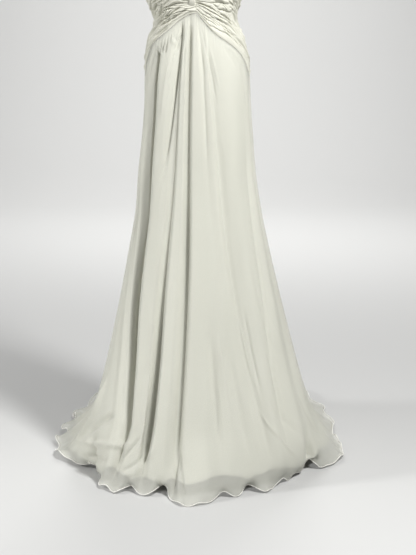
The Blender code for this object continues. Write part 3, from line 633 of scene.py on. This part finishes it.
def gathers(angle, below):
    """Small ripples where the skirt is gathered in, on the left under a smooth band."""
    turn = np.radians(angle)
    wave = (np.sin(turn * 74 + 1.6 * np.sin(turn * 9))
            + 0.6 * np.sin(turn * 123 + 2.0 * np.sin(turn * 7)))
    band = SMOOTH_BAND * np.exp(-((angle + 38) / 22) ** 4)
    patch = 0.35 + 0.35 * ease(0.5 + 0.7 * np.sin(turn * 5.3 + 0.6)) + 1.3 * bell(angle + 46, 13)
    length = 0.026 + 0.014 * np.sin(turn * 31)
    begun = ease((below - band + 0.008) / 0.012)
    return GATHER_HEIGHT * wave * patch * begun * bell(np.maximum(below - band, 0), length)


def hem_curls(angle):
    """Turn in radians and radius of the hem's curl at each angle."""
    turn, weight, radius = (np.zeros(angle.shape) for _ in range(3))
    for centre, half_width, degrees, size in HEM_CURLS:
        bump = bell(angle - centre, half_width)
        turn += np.radians(degrees) * bump
        radius += bump * size * MM
        weight += bump
    radius = np.where(weight > 1e-6, radius / np.maximum(weight, 1e-6), 0.02)
    return turn, np.clip(radius, 0.008, 0.03)


def curl_hem(points, distance, angle):
    """Roll the last stretch of each column up off the floor."""
    turn, radius = hem_curls(angle[-1])
    start = distance[-1] - turn * radius
    base, before = resample(points, distance, np.stack([start, start - 0.012]))
    ahead = unit(base - before)
    up = unit([0, 0, 1] - ahead * ahead[:, 2:])
    bend = ((distance - start) / radius)[..., None]
    curled = base + radius[:, None] * (np.sin(bend) * ahead + (1 - np.cos(bend)) * up)
    return np.where((bend > 0) & (turn >= LEAST_CURL)[:, None], curled, points)


def hem_ripple(points, distance, angle):
    """Soft ripples and flutes across the sheer margin, most at the very edge."""
    left = distance[-1] - distance
    near = ease((RIPPLE_REACH - left) / RIPPLE_REACH)
    turn = np.radians(angle[-1])
    wave = np.sin(turn * 27 + 1.9 * np.sin(turn * 6)) + 0.7 * np.sin(turn * 52 + 1.2)
    lift = RIPPLE_HEIGHT * (1.7 + wave) * near ** 1.5
    for centre, half_width, tall, length in HEM_FLUTES:
        inward = ease(1 - left / (length * MM))
        lift += tall * MM * bell(angle[-1] - centre, half_width) * inward ** 1.3
    rippled = points.copy()
    rippled[..., 2] += lift
    return rippled


def weld_seams(grid, start, end):
    """Put a panel's two side columns flat against the planes of its seams."""
    middle = math.radians((start + end) / 2)
    for column, seam in ((0, start), (-1, end)):
        axis = 1 if abs(seam) == 90 else 0
        toward = -math.cos(middle) if abs(seam) == 90 else math.sin(middle)
        grid[:, column, axis] = math.copysign(SEAM_HALF_GAP, toward)
    return grid


def seam_dip(angle, reach, *seams):
    """Narrow valley that a sewn seam draws along a panel's side edges."""
    return sum(SEAM_DEPTH * bell(np.radians(angle - seam) * reach, SEAM_HALF_WIDTH) for seam in seams)


def cloth_uv(grid):
    """Distances across and down a grid in metres, for weaves that follow the cloth."""
    across = along_columns(grid.swapaxes(0, 1)).T
    across = across - across[:, [across.shape[1] // 2]]
    return np.stack([across, -along_columns(grid)], axis=-1)


def mesh_object(name, verts, faces, uv, material):
    """Smooth mesh of quads with a UV map given for each vertex."""
    mesh = bpy.data.meshes.new(name)
    mesh.from_pydata(verts.tolist(), [], faces.tolist())
    layer = mesh.uv_layers.new(name="cloth")
    layer.data.foreach_set("uv", uv[faces.reshape(-1)].astype(np.float32).reshape(-1))
    mesh.shade_smooth()
    mesh.materials.append(material)
    piece = bpy.data.objects.new(name, mesh)
    bpy.context.scene.collection.objects.link(piece)
    return piece


def shell(name, outer, inner, material):
    """Closed thin shell between two grids of the same size."""
    rows, columns = outer.shape[:2]
    size = rows * columns
    index = np.arange(size).reshape(rows, columns)
    quads = np.stack([index[:-1, :-1], index[1:, :-1], index[1:, 1:], index[:-1, 1:]], axis=-1)
    quads = quads.reshape(-1, 4)

    def rim(edge):
        return np.stack([edge[:-1], edge[1:], edge[1:] + size, edge[:-1] + size], axis=-1)

    faces = np.concatenate([
        quads, quads[:, ::-1] + size, rim(index[0]), rim(index[-1, ::-1]),
        rim(index[::-1, 0]), rim(index[:, -1]),
    ])
    uv = cloth_uv(outer).reshape(-1, 2)
    verts = np.concatenate([outer.reshape(-1, 3), inner.reshape(-1, 3)])
    return mesh_object(name, verts, faces, np.concatenate([uv, uv]), material)


def tube(name, path, radius, sides, material):
    """Round cord along a path, closed at both ends, its UV in metres along and round."""
    ahead = unit(np.gradient(path, axis=0))
    flat = unit(np.cross(ahead, [0, 0, 1]))
    upright = np.cross(flat, ahead)
    turn = np.linspace(0, 2 * np.pi, sides, endpoint=False)[None, :]
    ring = np.cos(turn)[..., None] * flat[:, None] + np.sin(turn)[..., None] * upright[:, None]
    radii = np.full(len(path), float(radius))
    radii[0] = radii[-1] = radius * 0.2
    verts = path[:, None] + ring * radii[:, None, None]
    return rings_object(name, verts, along_columns(path[:, None]), turn * radius, material)


@contextmanager
def edit_mode():
    """Edit mode for the steps inside it."""
    bpy.ops.object.mode_set(mode="EDIT")
    yield
    bpy.ops.object.mode_set(mode="OBJECT")


def rings_object(name, verts, u, v, material):
    """Mesh of rings of vertices, closed at both ends; u and v are distances for its UV map."""
    index = np.arange(verts.shape[0] * verts.shape[1]).reshape(verts.shape[:2])
    after = np.roll(index, -1, axis=1)
    faces = np.stack([index[:-1], after[:-1], after[1:], index[1:]], axis=-1).reshape(-1, 4)
    uv = np.stack(np.broadcast_arrays(u, v), axis=-1).reshape(-1, 2)
    piece = mesh_object(name, verts.reshape(-1, 3), faces, uv, material)
    bpy.ops.object.select_all(action="DESELECT")
    bpy.context.view_layer.objects.active = piece
    piece.select_set(True)
    for ring in (index[0], index[-1]):
        with edit_mode():
            bpy.ops.mesh.select_all(action="DESELECT")
        for number in ring:
            piece.data.vertices[int(number)].select = True
        with edit_mode():
            bpy.ops.mesh.edge_face_add()
    with edit_mode():
        bpy.ops.mesh.select_all(action="SELECT")
        bpy.ops.mesh.normals_make_consistent(inside=False)
    piece.select_set(False)
    return piece


def skirt_panel(start, end, step, rows, is_lining):
    """Fine grid of a panel: points, distance down, angle and height."""
    dense, dense_angle, dense_height = drape(start, end, step)
    dense_down = along_columns(dense)
    total = dense_down[-1] - (table_curve(LINING_HEM, dense_angle[-1]) if is_lining else 0)
    share = np.linspace(0, 1, rows)
    share = share - ROW_CROWDING * np.sin(2 * np.pi * share) / (2 * np.pi)
    down = share[:, None] * total
    points, angle, height = (
        resample(values, dense_down, down) for values in (dense, dense_angle, dense_height))
    return points, down, angle, height


def make_skirt_panel(name, start, end, step, rows, material, is_lining=False):
    """One panel of the skirt, or of the lining behind it, and the line of its hem."""
    points, down, angle, height = skirt_panel(start, end, step, rows, is_lining)
    reach = np.hypot(points[..., 0], points[..., 1])
    creases = crease_relief(SKIRT_CREASES, angle, height, reach)
    trough, lap = trough_relief(angle, height, reach)
    if is_lining:
        relief = trough + np.minimum(creases, 0) - LINING_INSET
    else:
        relief = creases + trough + gathers(angle, down) - seam_dip(angle, reach, start, end)
    points = points + grid_normals(points) * relief[..., None] + sideways(points) * lap[..., None]
    if not is_lining:
        points = hem_ripple(points, down, angle)
        points = curl_hem(points, along_columns(points), angle)
    points[..., 2] = np.maximum(points[..., 2], FLOOR + HEM_CLEAR)
    inner = points - grid_normals(points) * (LINING_SHEET if is_lining else CHIFFON_SHEET)
    piece = shell(name, weld_seams(points, start, end), weld_seams(inner, start, end), material)
    return piece, (points[-1] + inner[-1]) / 2


def pleat_profile(part, crest=0.26):
    """Height over one pleat: a steep lower side, a crest low down and a long fall above it."""
    lower = np.sqrt(np.clip(part / crest, 0, 1))
    upper = 0.5 + 0.5 * np.cos(np.pi * np.clip((part - crest) / (1 - crest), 0, 1))
    return np.where(part < crest, lower, upper)


def pleat_relief(angle, across, step, spacing, count, drift):
    """Rise of a bodice panel's uneven, wandering pleats and of the fine wrinkles on them."""
    edges = [(number + 0.24 * math.sin(2.1 * number + drift)) / count for number in range(1, count)]
    pleat = np.interp(across, [0] + edges + [1], np.arange(count + 1))
    window = ease(across / 0.05) * ease((1 - across) / 0.05)
    wander = (0.30 * np.sin(0.055 * angle + 0.9 * pleat + drift) + 0.18 * np.sin(0.13 * angle - 0.6 * pleat)
              + 0.10 * np.sin(0.31 * angle + 1.7 * pleat))
    place = np.clip(pleat + wander * window, 0, count - 1e-6)
    number = np.floor(place)
    uneven = (0.66 + 0.26 * np.sin(1.7 * number + 4.2 * step + drift)
              + 0.20 * np.sin(3.3 * number + 9.0 * step + 0.7 * drift))
    size = np.minimum(PLEAT_HEIGHT, 0.52 * spacing) * np.clip(uneven, 0.25, 1.1)
    patch = ease(0.55 + 0.8 * np.sin(0.09 * angle + 1.1 * pleat + drift)
                 * np.sin(0.05 * angle - 0.7 * pleat))
    slide = 0.8 * np.sin(0.11 * angle + drift) + 0.35 * np.sin(0.27 * angle + 2.1 * pleat)
    fine = np.abs(np.sin(np.pi * (WRINKLES_A_PLEAT * place + slide))) ** 0.8
    crowded = np.minimum(1, spacing / 0.012)
    wrinkle = WRINKLE_HEIGHT * (1 + LEFT_WRINKLES * ease(-angle / 25)) * (0.35 + 0.65 * patch)
    return size * pleat_profile(place - number) + wrinkle * fine * window * crowded


def make_bodice_panel(name, start, end, count, drift, columns, rows, material):
    """Ruched panel from one seam to the next, over a plain foundation."""
    is_front = start * end == 0
    angle = np.linspace(start, end, columns)[None, :]
    across = np.linspace(1, 0, rows)[:, None]
    centre = (1 - np.abs(angle) / 90) if is_front else np.zeros(angle.shape)
    near_knot = KNOT_REACH * across / KNOT_SHARE
    past_knot = KNOT_REACH + (1 - KNOT_REACH) * (across - KNOT_SHARE) / (1 - KNOT_SHARE)
    bunched = np.where(across < KNOT_SHARE, near_knot, past_knot)
    low, high = seam_height(angle), neck_height(angle)
    height = low + (high - low) * (across + (bunched - across) * centre ** 2)
    spacing = (high - low) / count * (1 + (KNOT_REACH / KNOT_SHARE - 1) * centre ** 2)
    relief = pleat_relief(angle, across, (angle - start) / (end - start), spacing, count, drift)
    if not is_front:
        relief *= 0.3 + 0.7 * ease((180 - np.abs(angle)) / 12)
    edge = 0.04 + 0.50 * ease((angle + 10) / 30) * ease((78 - angle) / 30)
    relief = relief * (edge + (1 - edge) * ease(across / 0.07)) + EDGE_RISE
    relief *= 1 - 0.3 * ease((10 - np.abs(np.abs(angle) - 90)) / 8)
    relief *= 1 - RIGHT_CALM * ease(angle / 25)
    points = body_point(angle, height)
    reach = np.hypot(points[..., 0], points[..., 1])
    wide_angle = np.broadcast_to(angle, height.shape)
    if is_front:
        relief += crease_relief(BODICE_CREASES, wide_angle, height, reach)
        relief -= KNOT_PINCH * np.exp(-((angle - 1.5) / 5.0) ** 2 - ((height - 0.048) / 0.028) ** 2)
    relief -= seam_dip(wide_angle, reach, *((90, -90) if is_front else (start, end)))
    normal = body_normal(angle, height)
    outer = points + normal * relief[..., None]
    inner = points - normal * (BODICE_INSIDE + KNOT_PINCH * 0.5 * ease(relief / -0.002))[..., None]
    return shell(name, weld_seams(outer, start, end), weld_seams(inner, start, end), material)


def make_knot(material):
    """Band with long pleats that wind as they pass over the centre, its foot drawn in at the left."""
    part = np.linspace(0, 1, 80)[:, None]
    turn = np.linspace(0, 2 * np.pi, 80, endpoint=False)[None, :]
    height = KNOT_LOW + (KNOT_HIGH - KNOT_LOW) * part
    swell = (0.22 + 0.78 * ease(part / 0.55)) * (0.35 + 0.65 * ease((1 - part) / 0.22))
    sunk = 0.0055 * (1 - ease(part / 0.42)) + 0.0040 * (1 - ease((1 - part) / 0.15))
    front = body_point(0.0, height)[..., 1] - KNOT_OFF_BODICE - KNOT_HALF_DEPTH * swell + sunk
    wound = turn - KNOT_TURN * (part - 0.5) - 0.3 * np.sin(5 * part)
    pleats = 1 + 0.10 * np.cos(KNOT_PLEATS * 2 * wound) + 0.06 * np.cos(KNOT_PLEATS * wound + 1)
    side = np.where(np.cos(turn) < 0, KNOT_LEFT_SLOPE, 1)
    x = (KNOT_X - KNOT_LEAN * (1 - part) ** 1.6
         + KNOT_HALF_WIDTH * side * (0.45 + 0.55 * swell) * pleats * np.cos(turn))
    y = front + KNOT_HALF_DEPTH * swell * pleats * np.sin(turn)
    verts = np.stack(np.broadcast_arrays(x, y, height), axis=-1)
    return rings_object("centre_knot", verts, turn * KNOT_HALF_WIDTH, height, material)


def feed(tree, node, inputs):
    """Give a node's inputs their values, or the outputs of other nodes."""
    for name, value in inputs.items():
        if isinstance(value, bpy.types.NodeSocket):
            tree.links.new(value, node.inputs[name])
        else:
            node.inputs[name].default_value = value


def add_node(tree, kind, inputs, **settings):
    """The outputs of a new shader node, after its settings and inputs are made."""
    node = tree.nodes.new("ShaderNode" + kind)
    for name, value in settings.items():
        setattr(node, name, value)
    feed(tree, node, inputs)
    return node.outputs


def colour_mix(tree, factor, first, second):
    """Output of a mix of two colours."""
    return add_node(tree, "Mix", {"Factor": factor, "A": first, "B": second}, data_type="RGBA")["Result"]


def new_material(name):
    """A material, its nodes and its shader."""
    material = bpy.data.materials.new(name)
    material.use_nodes = True
    return material, material.node_tree, material.node_tree.nodes["Principled BSDF"]


def woven_group():
    """Plain crepe weave: threads both ways, a soft crinkle and long streaks down the cloth in the darker
    Shade colour: painted shade of the layered cloth, laid at random.
    """
    tree = bpy.data.node_groups.new("crepe_weave", "ShaderNodeTree")
    sockets = {
        "INPUT": {"Vector": "Vector", "Cloth": "Color", "Shade": "Color", "Threads": "Float",
                  "Crinkle": "Float"},
        "OUTPUT": {"Colour": "Color", "Roughness": "Float", "Height": "Float", "Gaps": "Float"},
    }
    for way, kinds in sockets.items():
        for name, kind in kinds.items():
            tree.interface.new_socket(name=name, in_out=way, socket_type="NodeSocket" + kind)
    given = tree.nodes.new("NodeGroupInput").outputs
    cloth = given["Vector"]
    across, along = (
        add_node(tree, "TexWave", {"Vector": cloth, "Scale": given["Threads"], "Distortion": 1.2,
                                   "Detail": 1.0, "Detail Scale": 0.4}, bands_direction=direction)
        for direction in ("X", "Y"))
    threads = add_node(tree, "Math", {0: across["Fac"], 1: along["Fac"]}, operation="MULTIPLY")
    crinkle = add_node(tree, "TexNoise", {"Vector": cloth, "Scale": 420.0, "Detail": 3.0})
    scaled = add_node(tree, "Math", {0: crinkle["Fac"], 1: given["Crinkle"]}, operation="MULTIPLY")
    height = add_node(tree, "Math", {0: threads[0], 1: 0.35, 2: scaled[0]}, operation="MULTIPLY_ADD")
    # Streaks down the cloth that mix in the Shade colour: painted shade of the layered cloth, placed at
    # random.
    stretch = add_node(tree, "Mapping", {"Vector": cloth, "Scale": (1.0, 0.22, 1.0)})
    tone_and_painted_shade = add_node(tree, "TexNoise", {"Vector": stretch["Vector"], "Scale": 7.0, "Detail": 2.0})
    span = add_node(tree, "MapRange", {"Value": tone_and_painted_shade["Fac"], "From Min": 0.35, "From Max": 0.70})
    colour = colour_mix(tree, span["Result"], given["Cloth"], given["Shade"])
    rough = add_node(tree, "MapRange", {"Value": crinkle["Fac"], "To Min": 0.66, "To Max": 0.86})
    gaps = add_node(tree, "MapRange", {"Value": height[0], "To Min": 0.34, "To Max": 0.50})
    feed(tree, tree.nodes.new("NodeGroupOutput"), {
        "Colour": colour, "Roughness": rough["Result"], "Height": height[0], "Gaps": gaps["Result"]})
    return tree


def cloth_material(name, weave, cloth, shade, threads, crinkle, bump, sheen, roughness=None, sheer=False):
    """Cloth from the shared weave; a sheer one lets light through its gaps."""
    material, tree, shader = new_material(name)
    place = add_node(tree, "TexCoord", {})
    woven = add_node(tree, "Group", {
        "Vector": place["UV"], "Cloth": (*cloth, 1), "Shade": (*shade, 1), "Threads": threads,
        "Crinkle": crinkle}, node_tree=weave)
    relief = add_node(tree, "Bump", {"Height": woven["Height"], "Strength": bump, "Distance": BUMP_HEIGHT})
    feed(tree, shader, {
        "Base Color": woven["Colour"], "Normal": relief["Normal"],
        "Roughness": woven["Roughness"] if roughness is None else roughness,
        "Sheen Weight": sheen, "Sheen Roughness": 0.45, "Specular IOR Level": 0.25})
    if sheer:
        feed(tree, shader, {"Alpha": woven["Gaps"]})
    return material


def thread_and_lining_highlight_material():
    """Overlocked edge: thread wound closely across the rolled hem. The lining's folded hem is drawn in it
    too, brighter than the satin: a painted highlight along that fold.
    """
    material, tree, shader = new_material("rolled_edge_thread_and_lining_highlight")
    place = add_node(tree, "TexCoord", {})
    wave = add_node(tree, "TexWave", {"Vector": place["UV"], "Scale": 260.0, "Distortion": 0.8})["Fac"]
    colour = colour_mix(tree, wave, (0.80, 0.79, 0.72, 1), (0.93, 0.93, 0.88, 1))
    relief = add_node(tree, "Bump", {"Height": wave, "Strength": 0.6, "Distance": BUMP_HEIGHT})
    feed(tree, shader, {"Base Color": colour, "Normal": relief["Normal"], "Roughness": 0.55,
                        "Sheen Weight": 0.2})
    return material


def enamel_material():
    """Ivory enamel on the zip's slider and pull, a little worn."""
    material, tree, shader = new_material("zip_enamel")
    place = add_node(tree, "TexCoord", {})
    specks = add_node(tree, "TexNoise", {"Vector": place["Object"], "Scale": 900.0})["Fac"]
    colour = colour_mix(tree, specks, (0.80, 0.79, 0.73, 1), (0.70, 0.69, 0.63, 1))
    rough = add_node(tree, "MapRange", {"Value": specks, "To Min": 0.25, "To Max": 0.5})
    feed(tree, shader, {"Base Color": colour, "Roughness": rough["Result"], "Coat Weight": 0.3,
                        "Coat Roughness": 0.2})
    return material


def dress():
    """Every sewn piece of the dress, and the finish of its zip."""
    weave = woven_group()
    chiffon = cloth_material("sheer_chiffon", weave, *CHIFFON, sheer=True)
    satin = cloth_material("lining_satin", weave, *SATIN, roughness=0.48)
    ruched = cloth_material("ruched_chiffon", weave, *RUCHED_PAINTED_SHADE)
    thread = thread_and_lining_highlight_material()
    enamel = enamel_material()
    for key, start, end, step, rows, lining_step, lining_rows in PANELS:
        panel, edge = make_skirt_panel(f"outer_skirt_{key}", start, end, step, rows, chiffon)
        wear(panel, "chiffon", f"skirt_{key}")
        hem = tube(f"rolled_hem_{key}", edge, *ROLLED_HEM, thread)
        wear(hem, "chiffon")
        lining, edge = make_skirt_panel(
            f"lining_skirt_{key}", start, end, lining_step, lining_rows, satin, is_lining=True)
        wear(lining, "lining_satin", f"lining_{key}")
        # The lining's fold takes the brighter thread colour: a painted highlight along the lining's hem.
        fold = tube(f"lining_hem_{key}", edge, *LINING_FOLD, thread)
        wear(fold, "lining_satin")
    for name, start, end, count, drift, columns, rows in BODICE_PANELS:
        piece = make_bodice_panel(f"ruched_{name}", start, end, count, drift, columns, rows, ruched)
        wear(piece, "ruched_chiffon", name)
    wear(make_knot(ruched), "ruched_chiffon", "centre_twist")
    for name in ("zip_slider", "zip_pull"):
        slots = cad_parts[name].data.materials
        slots.clear()
        slots.append(enamel)


def wear(piece, slot, *nodes):
    """A piece of the dress: it moves with the dress and hides the solids that it stands for; slot is not
    used.
    """
    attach(piece, "dress")
    if nodes:
        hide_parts(*nodes)


def studio():
    """Pale floor that sweeps up behind."""
    bpy.ops.object.select_all(action="DESELECT")
    bpy.ops.mesh.primitive_plane_add(size=18, location=(0, 0, FLOOR))
    floor = bpy.context.object
    floor.name = "studio_floor"
    with edit_mode():
        bpy.ops.mesh.select_all(action="DESELECT")
    for edge in floor.data.edges:
        ends = [floor.data.vertices[number].co.y for number in edge.vertices]
        edge.select = min(ends) > 8
    with edit_mode():
        bpy.ops.mesh.extrude_region_move(TRANSFORM_OT_translate={"value": (0, 0, 7)})
    bpy.ops.object.transform_apply(location=True, rotation=False, scale=True)
    sweep = floor.modifiers.new("sweep", "BEVEL")
    sweep.width = 3.5
    sweep.segments = 24
    bpy.ops.object.modifier_apply(modifier="sweep")
    bpy.ops.object.shade_smooth()
    paper, tree, shader = new_material("studio_paper")
    feed(tree, shader, {"Base Color": (0.62, 0.62, 0.61, 1), "Roughness": 0.9})
    floor.data.materials.append(paper)
    floor.select_set(False)


def soft_light(name, place, aim, size, power):
    """Round area light that looks at a point."""
    lamp = bpy.data.lights.new(name, "AREA")
    lamp.shape = "DISK"
    lamp.size = size
    lamp.energy = power
    holder = bpy.data.objects.new(name, lamp)
    holder.location = place
    holder.rotation_euler = (Vector(aim) - Vector(place)).to_track_quat("-Z", "Y").to_euler()
    bpy.context.scene.collection.objects.link(holder)


def lights_and_camera():
    """Soft lights from the right, the left and behind, and the photo's view of the dress."""
    soft_light("key", (1.20, -1.72, 1.42), (0, 0, -0.45), 0.49, 96)
    soft_light("side", (-3.10, -0.85, 0.40), (-0.1, 0, -0.9), 0.6, 58)
    soft_light("low", (-1.50, -0.40, -0.72), (-0.3, 0, -1.12), 0.4, 2.6)
    soft_light("back", (0.5, 3.6, 2.2), (0, 0.3, -0.6), 2.0, 80)
    soft_light("backdrop", (0, 4.5, 3.2), (0, 8.5, -0.4), 3.0, 260)
    scene = bpy.context.scene
    scene.view_settings.view_transform = "Standard"
    scene.world = bpy.data.worlds.new("studio_air")
    scene.world.use_nodes = True
    tree = scene.world.node_tree
    feed(tree, tree.nodes["Background"], {"Color": (1, 1, 1, 1), "Strength": 0.06})
    eye = bpy.data.cameras.new("photo_view")
    eye.sensor_width = 36
    eye.lens = FOCAL_PIXELS * 36 / PHOTO_HEIGHT
    holder = bpy.data.objects.new("photo_view", eye)
    holder.location = (0.0307, -3.4, -0.07)
    holder.rotation_euler = (math.radians(90 - LOOKING_DOWN), 0, 0)
    scene.collection.objects.link(holder)
    scene.camera = holder


dress()
studio()
lights_and_camera()
